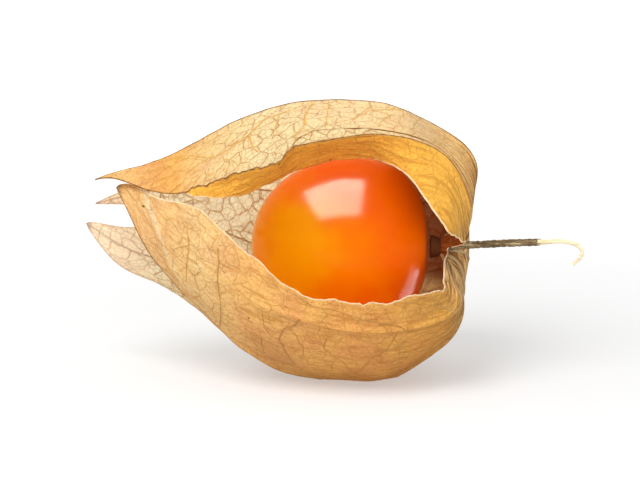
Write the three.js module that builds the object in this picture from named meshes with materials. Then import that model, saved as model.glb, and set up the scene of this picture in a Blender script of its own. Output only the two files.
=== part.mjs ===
// Cape gooseberry (Physalis peruviana) lying on its side: an orange berry inside its dry, papery husk,
// which is torn open on one side, and the stalk that it was picked by. The husk grew as one lantern of
// sepals joined along their seams, which part only at the mouth, where each sepal ends in a point.
//
// Millimetres. The origin is the middle of the flat spot that the husk rests on. +Z is up, +X runs
// along the fruit to its stalk, and -Y is the torn side.

import * as THREE from 'three';
import { mergeVertices } from 'three/addons/utils/BufferGeometryUtils.js';

const { degToRad, smoothstep } = THREE.MathUtils;

// ---- driving dimensions ----

const berry = {
  radius: 10,
  widestAt: 0.6, // along X
  axisHeight: 15.2,
  stalkHalf: 8.85, // from the widest ring to the stalk end
  freeHalf: 11.2, // from the widest ring to the free end
  stalkEndExponent: 2.4, // 2 is an ellipse, more is squarer
  dimpleDepth: 0.6,
  dimpleRadius: 2,
  outlineSteps: 26,
  sides: 44,
};

const stalk = {
  discStart: 9.7, // along X, next to the berry
  discThickness: 0.7,
  discRadius: 1.3,
  neckRadius: 0.45,
  nodeRadius: 0.38, // where the bark ends
  barkEnd: 0.62, // share of the length
  bareRadius: 0.29,
  tipRadius: 0.17,
  shoulder: 0.05, // along the stalk, where its radius steps
  steps: 40,
  sides: 12,
};

const husk = {
  thickness: 0.65,
  tearStart: 0.5, // station where the tear leaves the ring round the stalk
  split: 8.2, // station where the sepals part
  bodyRows: 33,
  tipRows: 11,
  panelHollow: 0.03, // share of the radius that a panel sinks between its two lines
  pleatHollow: 0.09, // the same round the shoulder, where the husk is pleated
  pleatStation: 2.8,
  pleatReach: 1.3, // in stations
  ribHeight: 0.3,
  smoothRing: [1.5, 7], // radii between which ribs and hollows come in, beyond the ring round the stalk
  fullPanel: 40, // degrees across a panel that sinks in by its full share
  pucker: 0.008, // share of the radius
  puckerWaves: [[2.9, 6], [1.7, -4]], // waves per station and whole waves round the husk
  tearWave: 1.2, // degrees
  tearRipples: [[5.3, 0, 0.6], [11.7, 1, 0.4]], // turn per station, start and share of each ripple
  tearOpening: [1, 2], // stations between which the ripples come in
  joinedPoints: 1e-4, // points closer than this are one
};

// ---- the lantern's shape, by stations from the stalk to the tips ----

// Each row is the place along X, the radius and the height of the axis. The base is sunk in round the stalk.
const sections = stationCurve([
  [10.9, 1.1, 14.9],
  [12.4, 1.9, 15.0],
  [14.0, 4.6, 15.4],
  [14.2, 8.8, 15.6],
  [11.0, 12.2, 15.6],
  [4.0, 15.6, 15.4],
  [-4.0, 15.6, 15.7],
  [-11.0, 13.1, 16.3],
  [-17.0, 9.3, 16.9],
  [-21.5, 6.8, 17.6],
  [-26.0, 5.4, 17.6],
  [-30.5, 4.6, 17.4],
]);

// Lines that run the length of the husk. The angle is in degrees from the top towards the torn side,
// the reach is a share of the section's radius and the shift is along X. One value stands for every
// station.
const upperTear = line({
  angle: [84, 82, 80, 79, 71, 30, 30, 55, 57.5, 59, 59, 59],
  reach: [1, 1, 1, 1, 0.93, 0.77, 0.68, 0.79, 1, 1.01, 1.01, 1.01],
  shift: [0, 0, -0.6, -1.7, -0.3, 0, 0, 0, 0, 0, 0, 0],
});
const frontSeam = line({
  angle: [56, 60, 62, 54, 32, 33, 41, 49, 52.5, 51, 19, 10],
  reach: 1.01,
  shift: [0, 0, -0.4, -0.4, 0, 0, 0, 0, 0, 0, 0, 0],
});
const topKeel = line({
  angle: [10, 4, 0, -4, -6, -6, -6, -4, 0, 2, 5, 8],
  reach: [1, 1, 1, 1, 1, 0.99, 0.98, 1, 1.03, 1, 1.08, 1],
  shift: [0, 0.1, 0.2, 0.5, 0.2, 0, 0, 0, 0, 0, 0, 0],
});
const topSeam = line({
  angle: [-44, -44, -44, -44, -44, -44, -44, -44, -44, -44, -44, -44],
  shift: [0, 0.2, 0.4, 0.3, 0, 0, 0, 0, 0, 0, 0, 0],
});
const backKeel = line({ angle: [-80, -80, -80, -80, -80, -80, -80, -76, -68, -64, -66, -74] });
const backSeam = line({ angle: [-116, -116, -116, -116, -116, -116, -112, -104, -96, -92, -92, -92] });
const underKeel = line({
  angle: [-150, -150, -150, -150, -150, -150, -150, -150, -146, -140, -126, -92],
  reach: [1, 1, 1, 1, 1.01, 1.02, 1, 1, 0.94, 0.96, 1, 1],
  shift: [0, 0, -0.5, -0.7, -0.2, 0, 0, 0, 0, 0, 0, 0],
});
const underSeam = line({
  angle: [-190, -190, -190, -188, -186, -186, -190, -204, -214, -216, -216, -216],
  reach: [1, 1, 1, 1, 1, 1, 0.975, 1.02, 0.95, 0.98, 1.06, 1.1],
  shift: [0, -0.5, -0.8, -1.0, -0.4, 0, 0, 0, 0, 0, 0, 0],
});
const frontKeel = line({
  angle: [-234, -234, -232, -233, -236, -242, -245, -250, -258, -277, -341, -350],
  reach: [1, 1, 1, 1, 1, 1, 1, 1.02, 0.99, 0.86, 0.78, 0.78],
  shift: [0, -1.2, -2.3, -1.4, -0.2, 0, 0, 0, 0, 0, 0, 0],
});
const lowerTear = line({
  angle: [-276, -260, -253, -250, -254, -256, -257, -272, -296, -300, -300, -300],
  shift: [0, -0.8, -2.9, -3.4, -0.8, 0, 0, 0, 0, 0, 0, 0],
});

// The sepals in order round the husk, each from one side line over its keel to the next side line. The
// first is what is left of a sepal that was torn away, and it runs out where its two lines meet. The tip
// is a station, and the two taper exponents set how the sides close on the tip. Hollow, pleat and crowded,
// which is how far the points close up to the ribs, are shares of what the husk has elsewhere.
const sepals = [
  { sides: [upperTear, frontSeam], pleat: 0.4, crowded: 0 },
  { sides: [frontSeam, topSeam], keel: topKeel, tip: 10.5, taper: [2.2, 1.4] },
  { sides: [topSeam, backSeam], keel: backKeel, tip: 10.6, taper: [1, 0.8] },
  { sides: [backSeam, underSeam], keel: underKeel, tip: 10.85, taper: [1, 0.7], hollow: 0.2 },
  { sides: [underSeam, lowerTear], keel: frontKeel, tip: 9.95, taper: [2, 0.6], hollow: 0.4 },
];

// Shares of the way across a strip between two lines: even where the husk is plain, and close to the
// lines where ribs stand up on them.
const evenPlaces = [0, 0.2, 0.4, 0.6, 0.8, 1];
const ribbedPlaces = [0, 0.08, 0.36, 0.64, 0.92, 1];

// ---- helpers ----

function stationCurve(rows) {
  const points = rows.map((row) => new THREE.Vector3(...row));
  const curve = new THREE.CatmullRomCurve3(points, false, 'catmullrom', 0.5);
  return (station) => curve.getPoint(station / (rows.length - 1));
}

function line({ angle, reach = 1, shift = 0 }) {
  const at = (value, index) => (Array.isArray(value) ? value[index] : value);
  return stationCurve(angle.map((turn, index) => [turn, at(reach, index), at(shift, index)]));
}

function mix(from, to, share) {
  return from * (1 - share) + to * share;
}

function bump(value, centre, reach) {
  return Math.exp(-(((value - centre) / reach) ** 2));
}

function material(color, roughness) {
  return new THREE.MeshStandardMaterial({ color, roughness, metalness: 0 });
}

// ---- husk ----

// A line's angle, reach and shift, with the ripples of a torn edge and with the ring still closed where
// the tear starts.
function traced(side, station) {
  if (side === lowerTear && station <= husk.tearStart) {
    return upperTear(station).add(new THREE.Vector3(-360, 0, 0));
  }
  if (side === upperTear && station >= husk.split) return frontSeam(station);
  const place = side(station);
  if (side === upperTear || side === lowerTear) {
    const opened = smoothstep(station, ...husk.tearOpening) * smoothstep(husk.split - station, 0, 1);
    for (const [turn, start, share] of husk.tearRipples) {
      place.x += husk.tearWave * opened * share * Math.sin(turn * station + start);
    }
  }
  return place;
}

function onLantern(station, place, hollow, rise) {
  const section = sections(station);
  const turn = degToRad(place.x);
  const [first, second] = husk.puckerWaves.map(([along, round]) => Math.sin(along * station + round * turn));
  const pucker = husk.pucker * first * second;
  const radius = section.y * place.y * (1 - hollow + pucker) + rise;
  const point = new THREE.Vector3(section.x + place.z, 0, section.z);
  return point.add(new THREE.Vector3(0, -radius * Math.sin(turn), radius * Math.cos(turn)));
}

// How far a line stands up: a torn edge not at all, a seam until it comes near its split, a keel all the way.
function ribOn(side, station) {
  if (side === upperTear || side === lowerTear) return 0;
  const seam = sepals.some(({ sides }) => sides.includes(side));
  return husk.ribHeight * (seam ? smoothstep(husk.split - station, 0, 1) : 1);
}

// One strip of a sepal, from its inner line to its side line, as rows of points.
function stripRows(inner, side, sepal) {
  const rows = [];
  const { hollow = 1, pleat = 1, crowded = 1 } = sepal;
  const crossing = (station, from, to, closing) => {
    const pleats = bump(station, husk.pleatStation, husk.pleatReach);
    const wide = smoothstep(Math.abs(to.x - from.x), 0, husk.fullPanel);
    const ribbed = smoothstep(sections(station).y, ...husk.smoothRing) * closing ** 2;
    const sunk = (husk.panelHollow * hollow + husk.pleatHollow * pleats * pleat) * wide * ribbed;
    return evenPlaces.map((even, column) => {
      const across = even + (ribbedPlaces[column] - even) * ribbed * crowded;
      const place = from.clone().lerp(to, across);
      const rib = (across === 0 ? ribOn(inner, station) : 0) + (across === 1 ? ribOn(side, station) : 0);
      return onLantern(station, place, sunk * Math.sin(Math.PI * across), rib * ribbed);
    });
  };
  for (let row = 0; row <= husk.bodyRows; row += 1) {
    const station = (husk.split * row) / husk.bodyRows;
    rows.push(crossing(station, traced(inner, station), traced(side, station), 1));
  }
  if (sepal.tip) {
    const start = traced(side, husk.split).sub(traced(inner, husk.split));
    for (let row = 1; row <= husk.tipRows; row += 1) {
      const done = row / husk.tipRows;
      const station = mix(husk.split, sepal.tip, done);
      const closing = row === husk.tipRows ? 0 : (1 - done ** sepal.taper[0]) ** sepal.taper[1];
      const keel = traced(inner, station);
      rows.push(crossing(station, keel, keel.clone().addScaledVector(start, closing), closing));
    }
  }
  return rows;
}

// Triangles between the rows of a strip, facing out of the husk.
function stripTriangles(rows, flipped) {
  const corners = [];
  for (let row = 0; row + 1 < rows.length; row += 1) {
    for (let column = 0; column + 1 < evenPlaces.length; column += 1) {
      const near = [rows[row][column], rows[row][column + 1]];
      const far = [rows[row + 1][column], rows[row + 1][column + 1]];
      const pair = [near[0], near[1], far[1], near[0], far[1], far[0]];
      corners.push(...(flipped ? pair.reverse() : pair));
    }
  }
  return corners;
}

// The husk's middle surface as one sheet, with the points that its strips share joined.
function huskSheet() {
  const corners = [];
  for (const sepal of sepals) {
    if (sepal.keel) {
      corners.push(...stripTriangles(stripRows(sepal.keel, sepal.sides[0], sepal), true));
      corners.push(...stripTriangles(stripRows(sepal.keel, sepal.sides[1], sepal), false));
    } else {
      corners.push(...stripTriangles(stripRows(sepal.sides[1], sepal.sides[0], sepal), true));
    }
  }
  const merged = mergeVertices(new THREE.BufferGeometry().setFromPoints(corners), husk.joinedPoints);
  const index = merged.getIndex().array;
  const kept = [];
  for (let at = 0; at < index.length; at += 3) {
    const [a, b, c] = index.slice(at, at + 3);
    if (a !== b && b !== c && c !== a) kept.push(a, b, c);
  }
  merged.setIndex(kept);
  merged.computeVertexNormals();
  return merged;
}

// Gives the sheet its thickness: an outer face, an inner face with the same triangles turned round, and
// a wall along every free edge. Nothing reaches below the surface that the husk rests on, which leaves
// it a small flat spot.
function thicken(sheet, thickness) {
  const position = sheet.getAttribute('position');
  const normal = sheet.getAttribute('normal');
  const index = sheet.getIndex().array;
  const { count } = position;
  const points = [];
  for (const side of [1, -1]) {
    for (let at = 0; at < count; at += 1) {
      const point = new THREE.Vector3().fromBufferAttribute(position, at);
      const out = new THREE.Vector3().fromBufferAttribute(normal, at);
      point.addScaledVector(out, (side * thickness) / 2);
      point.z = Math.max(point.z, side > 0 ? 0 : thickness);
      points.push(point);
    }
  }
  const triangles = [...index];
  const edges = new Set();
  for (let at = 0; at < index.length; at += 3) {
    const [a, b, c] = index.slice(at, at + 3);
    triangles.push(c + count, b + count, a + count);
    for (const [from, to] of [[a, b], [b, c], [c, a]]) edges.add(`${from} ${to}`);
  }
  for (const edge of edges) {
    const [from, to] = edge.split(' ').map(Number);
    if (edges.has(`${to} ${from}`)) continue;
    triangles.push(to, from, from + count, to, from + count, to + count);
  }
  return new THREE.BufferGeometry().setFromPoints(points).setIndex(triangles);
}

function makeHusk() {
  const mesh = new THREE.Mesh(thicken(huskSheet(), husk.thickness), material(0xd8ab62, 0.75));
  mesh.name = 'husk';
  return mesh;
}

// ---- berry ----

// A slightly egg-shaped berry, squarer at its stalk end, where it has a shallow dimple.
function makeBerry() {
  const outline = [];
  for (let step = 0; step <= berry.outlineSteps; step += 1) {
    const turn = -Math.PI / 2 + (Math.PI * step) / berry.outlineSteps;
    const power = turn > 0 ? 2 / berry.stalkEndExponent : 1;
    const half = turn > 0 ? berry.stalkHalf : berry.freeHalf;
    const ends = step === 0 || step === berry.outlineSteps;
    const radius = ends ? 0 : berry.radius * Math.cos(turn) ** power;
    const along = half * Math.sign(turn) * Math.abs(Math.sin(turn)) ** power;
    const dimple = turn > 0 ? berry.dimpleDepth * bump(radius, 0, berry.dimpleRadius) : 0;
    outline.push(new THREE.Vector2(radius, along - dimple));
  }
  const mesh = new THREE.Mesh(new THREE.LatheGeometry(outline, berry.sides), material(0xf57a08, 0.25));
  mesh.rotation.z = -Math.PI / 2;
  mesh.position.set(berry.widestAt, 0, berry.axisHeight);
  mesh.name = 'berry';
  return mesh;
}

// ---- stalk ----

// The line that the stalk follows from the disc that bears the berry, out through the husk's ring, to
// its curled tip.
const stalkPath = new THREE.CatmullRomCurve3([
  new THREE.Vector3(stalk.discStart, 0, 14.95),
  new THREE.Vector3(11, 0, 14.9),
  new THREE.Vector3(14.5, -0.1, 15.15),
  new THREE.Vector3(18.5, 0, 15.35),
  new THREE.Vector3(22.5, 0, 15.45),
  new THREE.Vector3(24.6, 0, 15.55),
  new THREE.Vector3(26.2, -0.1, 15.2),
  new THREE.Vector3(26.95, -0.2, 14.5),
  new THREE.Vector3(26.75, -0.2, 13.7),
  new THREE.Vector3(25.9, -0.2, 12.85),
]);

// Radius of the stalk at a distance from its start.
function stalkRadius(distance, length) {
  if (distance < stalk.discThickness) return stalk.discRadius;
  const share = distance / length;
  if (share < stalk.barkEnd) return mix(stalk.neckRadius, stalk.nodeRadius, share / stalk.barkEnd);
  return mix(stalk.bareRadius, stalk.tipRadius, (share - stalk.barkEnd) / (1 - stalk.barkEnd));
}

// A turned outline of the stalk, bent along its path.
function makeStalk() {
  const length = stalkPath.getLength();
  const distances = [0, stalk.discThickness - stalk.shoulder];
  for (let step = 0; step <= stalk.steps; step += 1) {
    distances.push(mix(stalk.discThickness, length, step / stalk.steps));
  }
  const outline = [new THREE.Vector2(0, 0)];
  for (const distance of distances) outline.push(new THREE.Vector2(stalkRadius(distance, length), distance));
  outline.push(new THREE.Vector2(0, length));
  const geometry = new THREE.LatheGeometry(outline, stalk.sides);
  const position = geometry.getAttribute('position');
  const sideways = new THREE.Vector3(0, 1, 0);
  for (let at = 0; at < position.count; at += 1) {
    const share = Math.min(position.getY(at) / length, 1);
    const ahead = stalkPath.getTangentAt(share);
    const across = new THREE.Vector3().crossVectors(ahead, sideways).normalize();
    const point = stalkPath.getPointAt(share);
    point.addScaledVector(across, position.getX(at)).addScaledVector(sideways, position.getZ(at));
    position.setXYZ(at, point.x, point.y, point.z);
  }
  const mesh = new THREE.Mesh(geometry, material(0x7a6238, 0.85));
  mesh.name = 'stalk';
  return mesh;
}

const group = new THREE.Group();
group.add(makeBerry(), makeHusk(), makeStalk());

export default group;
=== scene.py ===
import math
import random

import bpy
import numpy as np
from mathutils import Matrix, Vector, noise


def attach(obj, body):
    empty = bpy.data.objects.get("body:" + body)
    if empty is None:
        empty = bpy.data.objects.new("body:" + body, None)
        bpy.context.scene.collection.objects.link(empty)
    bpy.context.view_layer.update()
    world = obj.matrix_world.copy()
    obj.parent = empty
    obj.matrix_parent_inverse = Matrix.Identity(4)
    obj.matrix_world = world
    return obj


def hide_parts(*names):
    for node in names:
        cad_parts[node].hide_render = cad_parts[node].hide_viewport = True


# A cape gooseberry in its dry husk, lying on its side on a pale studio floor.
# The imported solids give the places. The looks are built here around them, in metres.

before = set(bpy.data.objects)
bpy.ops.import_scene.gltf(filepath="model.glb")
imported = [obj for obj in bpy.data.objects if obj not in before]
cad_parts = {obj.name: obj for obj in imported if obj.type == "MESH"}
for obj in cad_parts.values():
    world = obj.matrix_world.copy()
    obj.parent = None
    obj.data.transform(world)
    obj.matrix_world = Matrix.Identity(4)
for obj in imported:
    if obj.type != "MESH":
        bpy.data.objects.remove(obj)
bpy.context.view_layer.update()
mm = 0.001


def smoothstep(value, low, high):
    share = np.clip((np.asarray(value, float) - low) / (high - low), 0, 1)
    return share * share * (3 - 2 * share)


def ramp(value, low, high):
    return np.clip((np.asarray(value, float) - low) / (high - low), 0, 1)


def bump(value, centre, reach):
    return np.exp(-(((np.asarray(value, float) - centre) / reach) ** 2))


def through(rows, place):
    # a smooth curve through rows, read at a place counted in rows
    knots = np.asarray(rows, float)
    last = len(knots) - 1
    padded = np.concatenate([[2 * knots[0] - knots[1]], knots, [2 * knots[-1] - knots[-2]]])
    place = np.clip(np.asarray(place, float), 0, last)
    index = np.minimum(np.floor(place).astype(int), last - 1)
    share = place - index
    if knots.ndim > 1:
        share = share[..., None]
    before, start, end, after = (padded[index + step] for step in range(4))
    cubic = 3 * (start - end) + after - before
    square = 2 * before - 5 * start + 4 * end - after
    return start + 0.5 * share * (end - before + share * (square + share * cubic))


def finishPiece(piece, slotName, *nodes):
    bpy.context.view_layer.update()
    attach(piece, "root")
    if nodes:
        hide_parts(*nodes)
    return piece


def addObject(name, data):
    piece = bpy.data.objects.new(name, data)
    bpy.context.scene.collection.objects.link(piece)
    return piece


def tone(red, green, blue):
    # a colour as it looks on screen, from 0 to 255
    def straight(value):
        value /= 255
        return value / 12.92 if value <= 0.04045 else ((value + 0.055) / 1.055) ** 2.4
    return (straight(red), straight(green), straight(blue), 1)


def newMaterial(name):
    material = bpy.data.materials.new(name)
    material.use_nodes = True
    material.node_tree.nodes.clear()
    return material, material.node_tree


def add(tree, kind, inputs=None, **settings):
    node = tree.nodes.new(kind)
    for key, value in settings.items():
        setattr(node, key, value)
    for key, value in (inputs or {}).items():
        if isinstance(value, bpy.types.NodeSocket):
            tree.links.new(value, node.inputs[key])
        else:
            node.inputs[key].default_value = value
    return node


def calc(tree, operation, first, second):
    return add(tree, "ShaderNodeMath", {0: first, 1: second}, operation=operation).outputs[0]


def times(tree, first, second):
    return calc(tree, "MULTIPLY", first, second)


def plus(tree, first, second):
    return calc(tree, "ADD", first, second)


def larger(tree, first, second):
    return calc(tree, "MAXIMUM", first, second)


def remap(tree, value, low, high, toLow=0.0, toHigh=1.0):
    ends = {"Value": value, "From Min": low, "From Max": high, "To Min": toLow, "To Max": toHigh}
    return add(tree, "ShaderNodeMapRange", ends, interpolation_type="SMOOTHSTEP").outputs[0]


def blend(tree, share, first, second):
    return add(tree, "ShaderNodeMix", {0: share, 6: first, 7: second}, data_type="RGBA").outputs[2]


def layered(tree, colour, *layers):
    # colours laid over one another, each as a share and a colour
    for share, over in layers:
        colour = blend(tree, share, colour, over)
    return colour


def attribute(tree, name, output="Fac"):
    return add(tree, "ShaderNodeAttribute", attribute_name=name).outputs[output]


def objectPlace(tree):
    return add(tree, "ShaderNodeTexCoord").outputs["Object"]


def axisOf(tree, place, axis):
    return add(tree, "ShaderNodeSeparateXYZ", {0: place}).outputs[axis]


def stretch(tree, place, *scale):
    return add(tree, "ShaderNodeMapping", {"Vector": place, "Scale": scale}).outputs[0]


def noiseOn(tree, place, scale, detail, roughness=0.5, distortion=0.0, output="Fac", **settings):
    inputs = {"Vector": place, "Scale": scale, "Detail": detail, "Roughness": roughness,
              "Distortion": distortion}
    return add(tree, "ShaderNodeTexNoise", inputs, **settings).outputs[output]


def bumpOn(tree, height, strength, distance):
    # the distance is in millimetres
    inputs = {"Height": height, "Strength": strength, "Distance": distance * mm}
    return add(tree, "ShaderNodeBump", inputs).outputs[0]


def shade(tree, colour, roughness, normal, gloss=0.5):
    inputs = {"Base Color": colour, "Roughness": roughness, "Normal": normal, "Specular IOR Level": gloss}
    return add(tree, "ShaderNodeBsdfPrincipled", inputs)


def mixShaders(tree, share, first, second):
    return add(tree, "ShaderNodeMixShader", {0: share, 1: first.outputs[0], 2: second.outputs[0]})


def showShader(tree, shader):
    add(tree, "ShaderNodeOutputMaterial", {"Surface": shader.outputs[0]})


def perlin(place):
    return noise.noise(place, noise_basis="PERLIN_ORIGINAL")


husk = {
    "thickness": 0.14,  # millimetres, as all lengths here
    "tearStart": (0.497, 0.745),  # stations over which the ring opens into the tear
    "tearEnd": (7.95, 8.2),  # stations over which the torn remainder runs out
    "split": 8.2,  # station where the sepals part
    "bodyRows": 180,
    "tipRows": 40,
    "columns": 24,  # across half a sepal
    "crowding": 0.6,  # how much closer the columns are near the ribs
    "panelHollow": 0.03,  # share of the radius
    "pleatHollow": 0.09,
    "pleatStation": 2.8,
    "pleatReach": 1.3,
    "ribHeight": 0.3,
    "ribWidth": 0.5,
    "ribSinks": (6.2, 7.2),  # stations over which the front sepal's rib sinks into the sheet
    "smoothRing": (1.5, 7),  # radii between which ribs and hollows come in
    "fullPanel": 40,  # degrees
    "pucker": 0.008,
    "puckerWaves": ((2.9, 6), (1.7, -4)),
    "tearWave": 1.2,  # degrees
    "tearRipples": ((5.3, 0, 0.6), (11.7, 1, 0.4)),  # turn by station, start and share of each ripple
    "frayWave": 0.35,  # degrees, the finer ripple of the torn edges
    "frays": ((23, 0, 1), (37, 2, 1), (61, 0, 0.6)),  # its ripples
    "notch": (5.28, 0.9, 0.035),  # station, degrees and reach of a nick in the lower torn edge
    "ragged": ((19, 0, 0.35), (31, 1, 0.25), (53, 2, 0.2)),  # ripples of the front seam, in degrees
    "kinks": ((6.37, 5.4, 0.06, 0.5), (8.05, 3.0, 0.04, 0.25)),  # station, degrees, reach and run-out
    "creaseHeight": 0.1,
    "creaseSize": 4.5,
    "foldedSize": 3.1,
    "crinkleHeight": 0.035,
    "crinkleSize": 1.6,
    "weltHeight": 0.3,  # of the swelling beside the front seam, with its width by station
    "weltWidths": ((1.6, 0.0), (2.4, 0.9), (3.2, 1.4), (3.9, 1.0), (4.8, 1.0), (5.2, 1.3), (5.55, 1.9),
                   (5.95, 2.1), (6.15, 1.3), (6.28, 0.0)),
    "foldHeight": 0.3,  # of the fold that runs down the front sepal
    "foldWidth": 0.35,
    "foldStarts": (8.2, 8.6),
}

# stations and degrees of the fold that runs down the front sepal from its tip
tipFold = ((8.2, -225), (8.48, -236), (8.67, -247), (8.77, -259), (8.9, -272), (9.07, -284), (9.3, -300),
           (9.53, -324), (9.95, -338))

# x, radius and height of the axis at each station, from the stalk to the tips
sections = [
    (10.9, 1.1, 14.9), (12.4, 1.9, 15.0), (14.0, 4.6, 15.4), (14.2, 8.8, 15.6),
    (11.0, 12.2, 15.6), (4.0, 15.6, 15.4), (-4.0, 15.6, 15.7), (-11.0, 13.1, 16.3),
    (-17.0, 9.3, 16.9), (-21.5, 6.8, 17.6), (-26.0, 5.4, 17.6), (-30.5, 4.6, 17.4),
]


def huskLine(angle, reach=(1,), shift=(0,)):
    # angle from the top towards the torn side, share of the radius and shift along x, by station. A short
    # row goes on with its last value.
    full = [[*row, *[row[-1]] * (len(sections) - len(row))] for row in (angle, reach, shift)]
    return np.array(full, float).T


huskLines = {
    "upperTear": huskLine(
        [84, 82, 80, 79, 71, 30, 30, 55, 57.5, 59],
        [1, 1, 1, 1, 0.93, 0.77, 0.68, 0.79, 1, 1.01],
        [0, 0, -0.6, -1.7, -0.3, 0]),
    "frontSeam": huskLine([56, 60, 62, 54, 32, 33, 41, 49, 52.5, 51, 19, 10], [1.01], [0, 0, -0.4, -0.4, 0]),
    "topKeel": huskLine(
        [10, 4, 0, -4, -6, -6, -6, -4, 0, 2, 5, 8],
        [1, 1, 1, 1, 1, 0.99, 0.98, 1, 1.03, 1, 1.08, 1],
        [0, 0.1, 0.2, 0.5, 0.2, 0]),
    "topSeam": huskLine([-44], [1], [0, 0.2, 0.4, 0.3, 0]),
    "backKeel": huskLine([-80, -80, -80, -80, -80, -80, -80, -76, -68, -64, -66, -74]),
    "backSeam": huskLine([-116, -116, -116, -116, -116, -116, -112, -104, -96, -92]),
    "underKeel": huskLine(
        [-150, -150, -150, -150, -150, -150, -150, -150, -146, -140, -126, -92],
        [1, 1, 1, 1, 1.01, 1.02, 1, 1, 0.94, 0.96, 1],
        [0, 0, -0.5, -0.7, -0.2, 0]),
    "underSeam": huskLine(
        [-190, -190, -190, -188, -186, -186, -190, -204, -214, -216],
        [1, 1, 1, 1, 1, 1, 0.975, 1.02, 0.95, 0.98, 1.06, 1.1],
        [0, -0.5, -0.8, -1.0, -0.4, 0]),
    "frontKeel": huskLine(
        [-234, -234, -232, -233, -236, -242, -245, -250, -258, -277, -341, -350],
        [1, 1, 1, 1, 1, 1, 1, 1.02, 0.99, 0.87, 0.85, 0.88],
        [0, -1.2, -2.3, -1.4, -0.2, 0]),
    "lowerTear": huskLine(
        [-276, -260, -253, -250, -254, -256, -257, -272, -296, -300], [1],
        [0, -0.8, -2.9, -3.4, -0.8, 0]),
}
seams = ("frontSeam", "topSeam", "backSeam", "underSeam")
tornEdges = ("upperTear", "lowerTear")

# Whole sepals in order round the husk, each with its own rib, its two halves by name and side line, and
# the station of its tip, where the taper exponents set how it closes. Pale gives how bleached and thin
# each half is, by station; on the front sepal its rise near station 7.9 is a painted highlight patch.
backPale = ((2.5, 0), (4.5, 0.6), (6, 1), (11, 1))
# the front sepal's pale, its rise near station 7.9 a painted highlight patch
frontPale = ((5.5, 0), (7, 0.1), (7.9, 0.4), (8.6, 0.15), (10, 0.1))
sepals = [
    {"inner": "topKeel", "halves": (("topFront", "frontSeam"), ("topBack", "topSeam")),
     "tip": 10.5, "taper": (2.2, 1.4),
     "pale": (((2.6, 0), (3.8, 0.25), (5.3, 0.85), (6.8, 0.95), (7.7, 0.4), (8.4, 0), (10, 0.1)),
              ((3, 0), (5, 0.6), (8, 0.8), (10, 0.4)))},
    {"inner": "backKeel", "halves": (("backUpper", "topSeam"), ("backLower", "backSeam")),
     "tip": 10.6, "taper": (1, 0.8), "pale": (backPale, backPale)},
    {"inner": "underKeel", "halves": (("underBack", "backSeam"), ("underFront", "underSeam")),
     "tip": 10.85, "taper": (1, 0.7), "hollow": 0.2, "pale": (backPale, ((7.6, 0.1), (8.5, 1), (11, 1)))},
    {"inner": "frontKeel", "halves": (("frontUnder", "underSeam"), ("frontRim", "lowerTear")),
     "tip": 9.95, "taper": (2, 0.6), "hollow": 0.4, "pale": (frontPale, frontPale)},
]

# Half sepals in the same order, each from its own rib to its side line. The first is what is left of a
# sepal that was torn away. A half with a tip goes on past the split and closes on its rib.
strips = [{"name": "remnant", "inner": "frontSeam", "side": "upperTear", "pleat": 0.4, "flipped": True,
           "pale": ((0, 0), (1, 0))}]
for sepal in sepals:
    for half, (name, side) in enumerate(sepal["halves"]):
        pale = sepal["pale"][half]
        strips.append({**sepal, "name": name, "side": side, "flipped": half == 0, "pale": pale})
stripNamed = {strip["name"]: strip for strip in strips}


def traced(line, station):
    # a line's angle, reach and shift, with the ring closed where the tear starts and with its torn edge
    station = np.asarray(station, float)
    place = through(huskLines[line], station)
    if line == "lowerTear":
        closed = through(huskLines["upperTear"], station) - np.array([360.0, 0, 0])
        opened = ramp(station, *husk["tearStart"])[..., None]
        place = closed + (place - closed) * opened
    if line == "upperTear":
        gone = ramp(station, *husk["tearEnd"])[..., None]
        place = place + (through(huskLines["frontSeam"], station) - place) * gone
    if line in tornEdges:
        ripple = smoothstep(station, 1, 2) * smoothstep(husk["split"] - station, 0, 1)
        for turn, start, share in husk["tearRipples"]:
            place[..., 0] += husk["tearWave"] * ripple * share * np.sin(turn * station + start)
        fray = sum(share * np.sin(turn * station + start) for turn, start, share in husk["frays"])
        place[..., 0] += husk["frayWave"] * ripple * fray / sum(share for _, _, share in husk["frays"])
    if line == "lowerTear":
        at, depth, reach = husk["notch"]
        place[..., 0] += depth * bump(station, at, reach)
    if line == "frontSeam":
        for at, turn, reach, runOut in husk["kinks"]:
            place[..., 0] += turn / 2 * np.tanh((station - at) / reach) * bump(station, at, runOut)
        worn = smoothstep(station, 5.6, 6.6) * smoothstep(husk["split"] - station, 0, 0.3)
        for wave, start, turn in husk["ragged"]:
            place[..., 0] += turn * worn * np.sin(wave * station + start)
    return place


def relief(points, strength):
    # creases and crinkles of dry paper, in millimetres
    heights = np.empty(len(points))
    for at, point in enumerate(points):
        crease = perlin(Vector(point / husk["creaseSize"]))
        folded = 1 - 2 * abs(perlin(Vector(point / husk["foldedSize"]) + Vector((7, 3, 1))))
        crinkle = perlin(Vector(point / husk["crinkleSize"]))
        heights[at] = husk["creaseHeight"] * (crease + 0.5 * folded) + husk["crinkleHeight"] * crinkle
    return heights * strength


def foldTurn(station):
    return np.interp(station, *zip(*tipFold))


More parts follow.
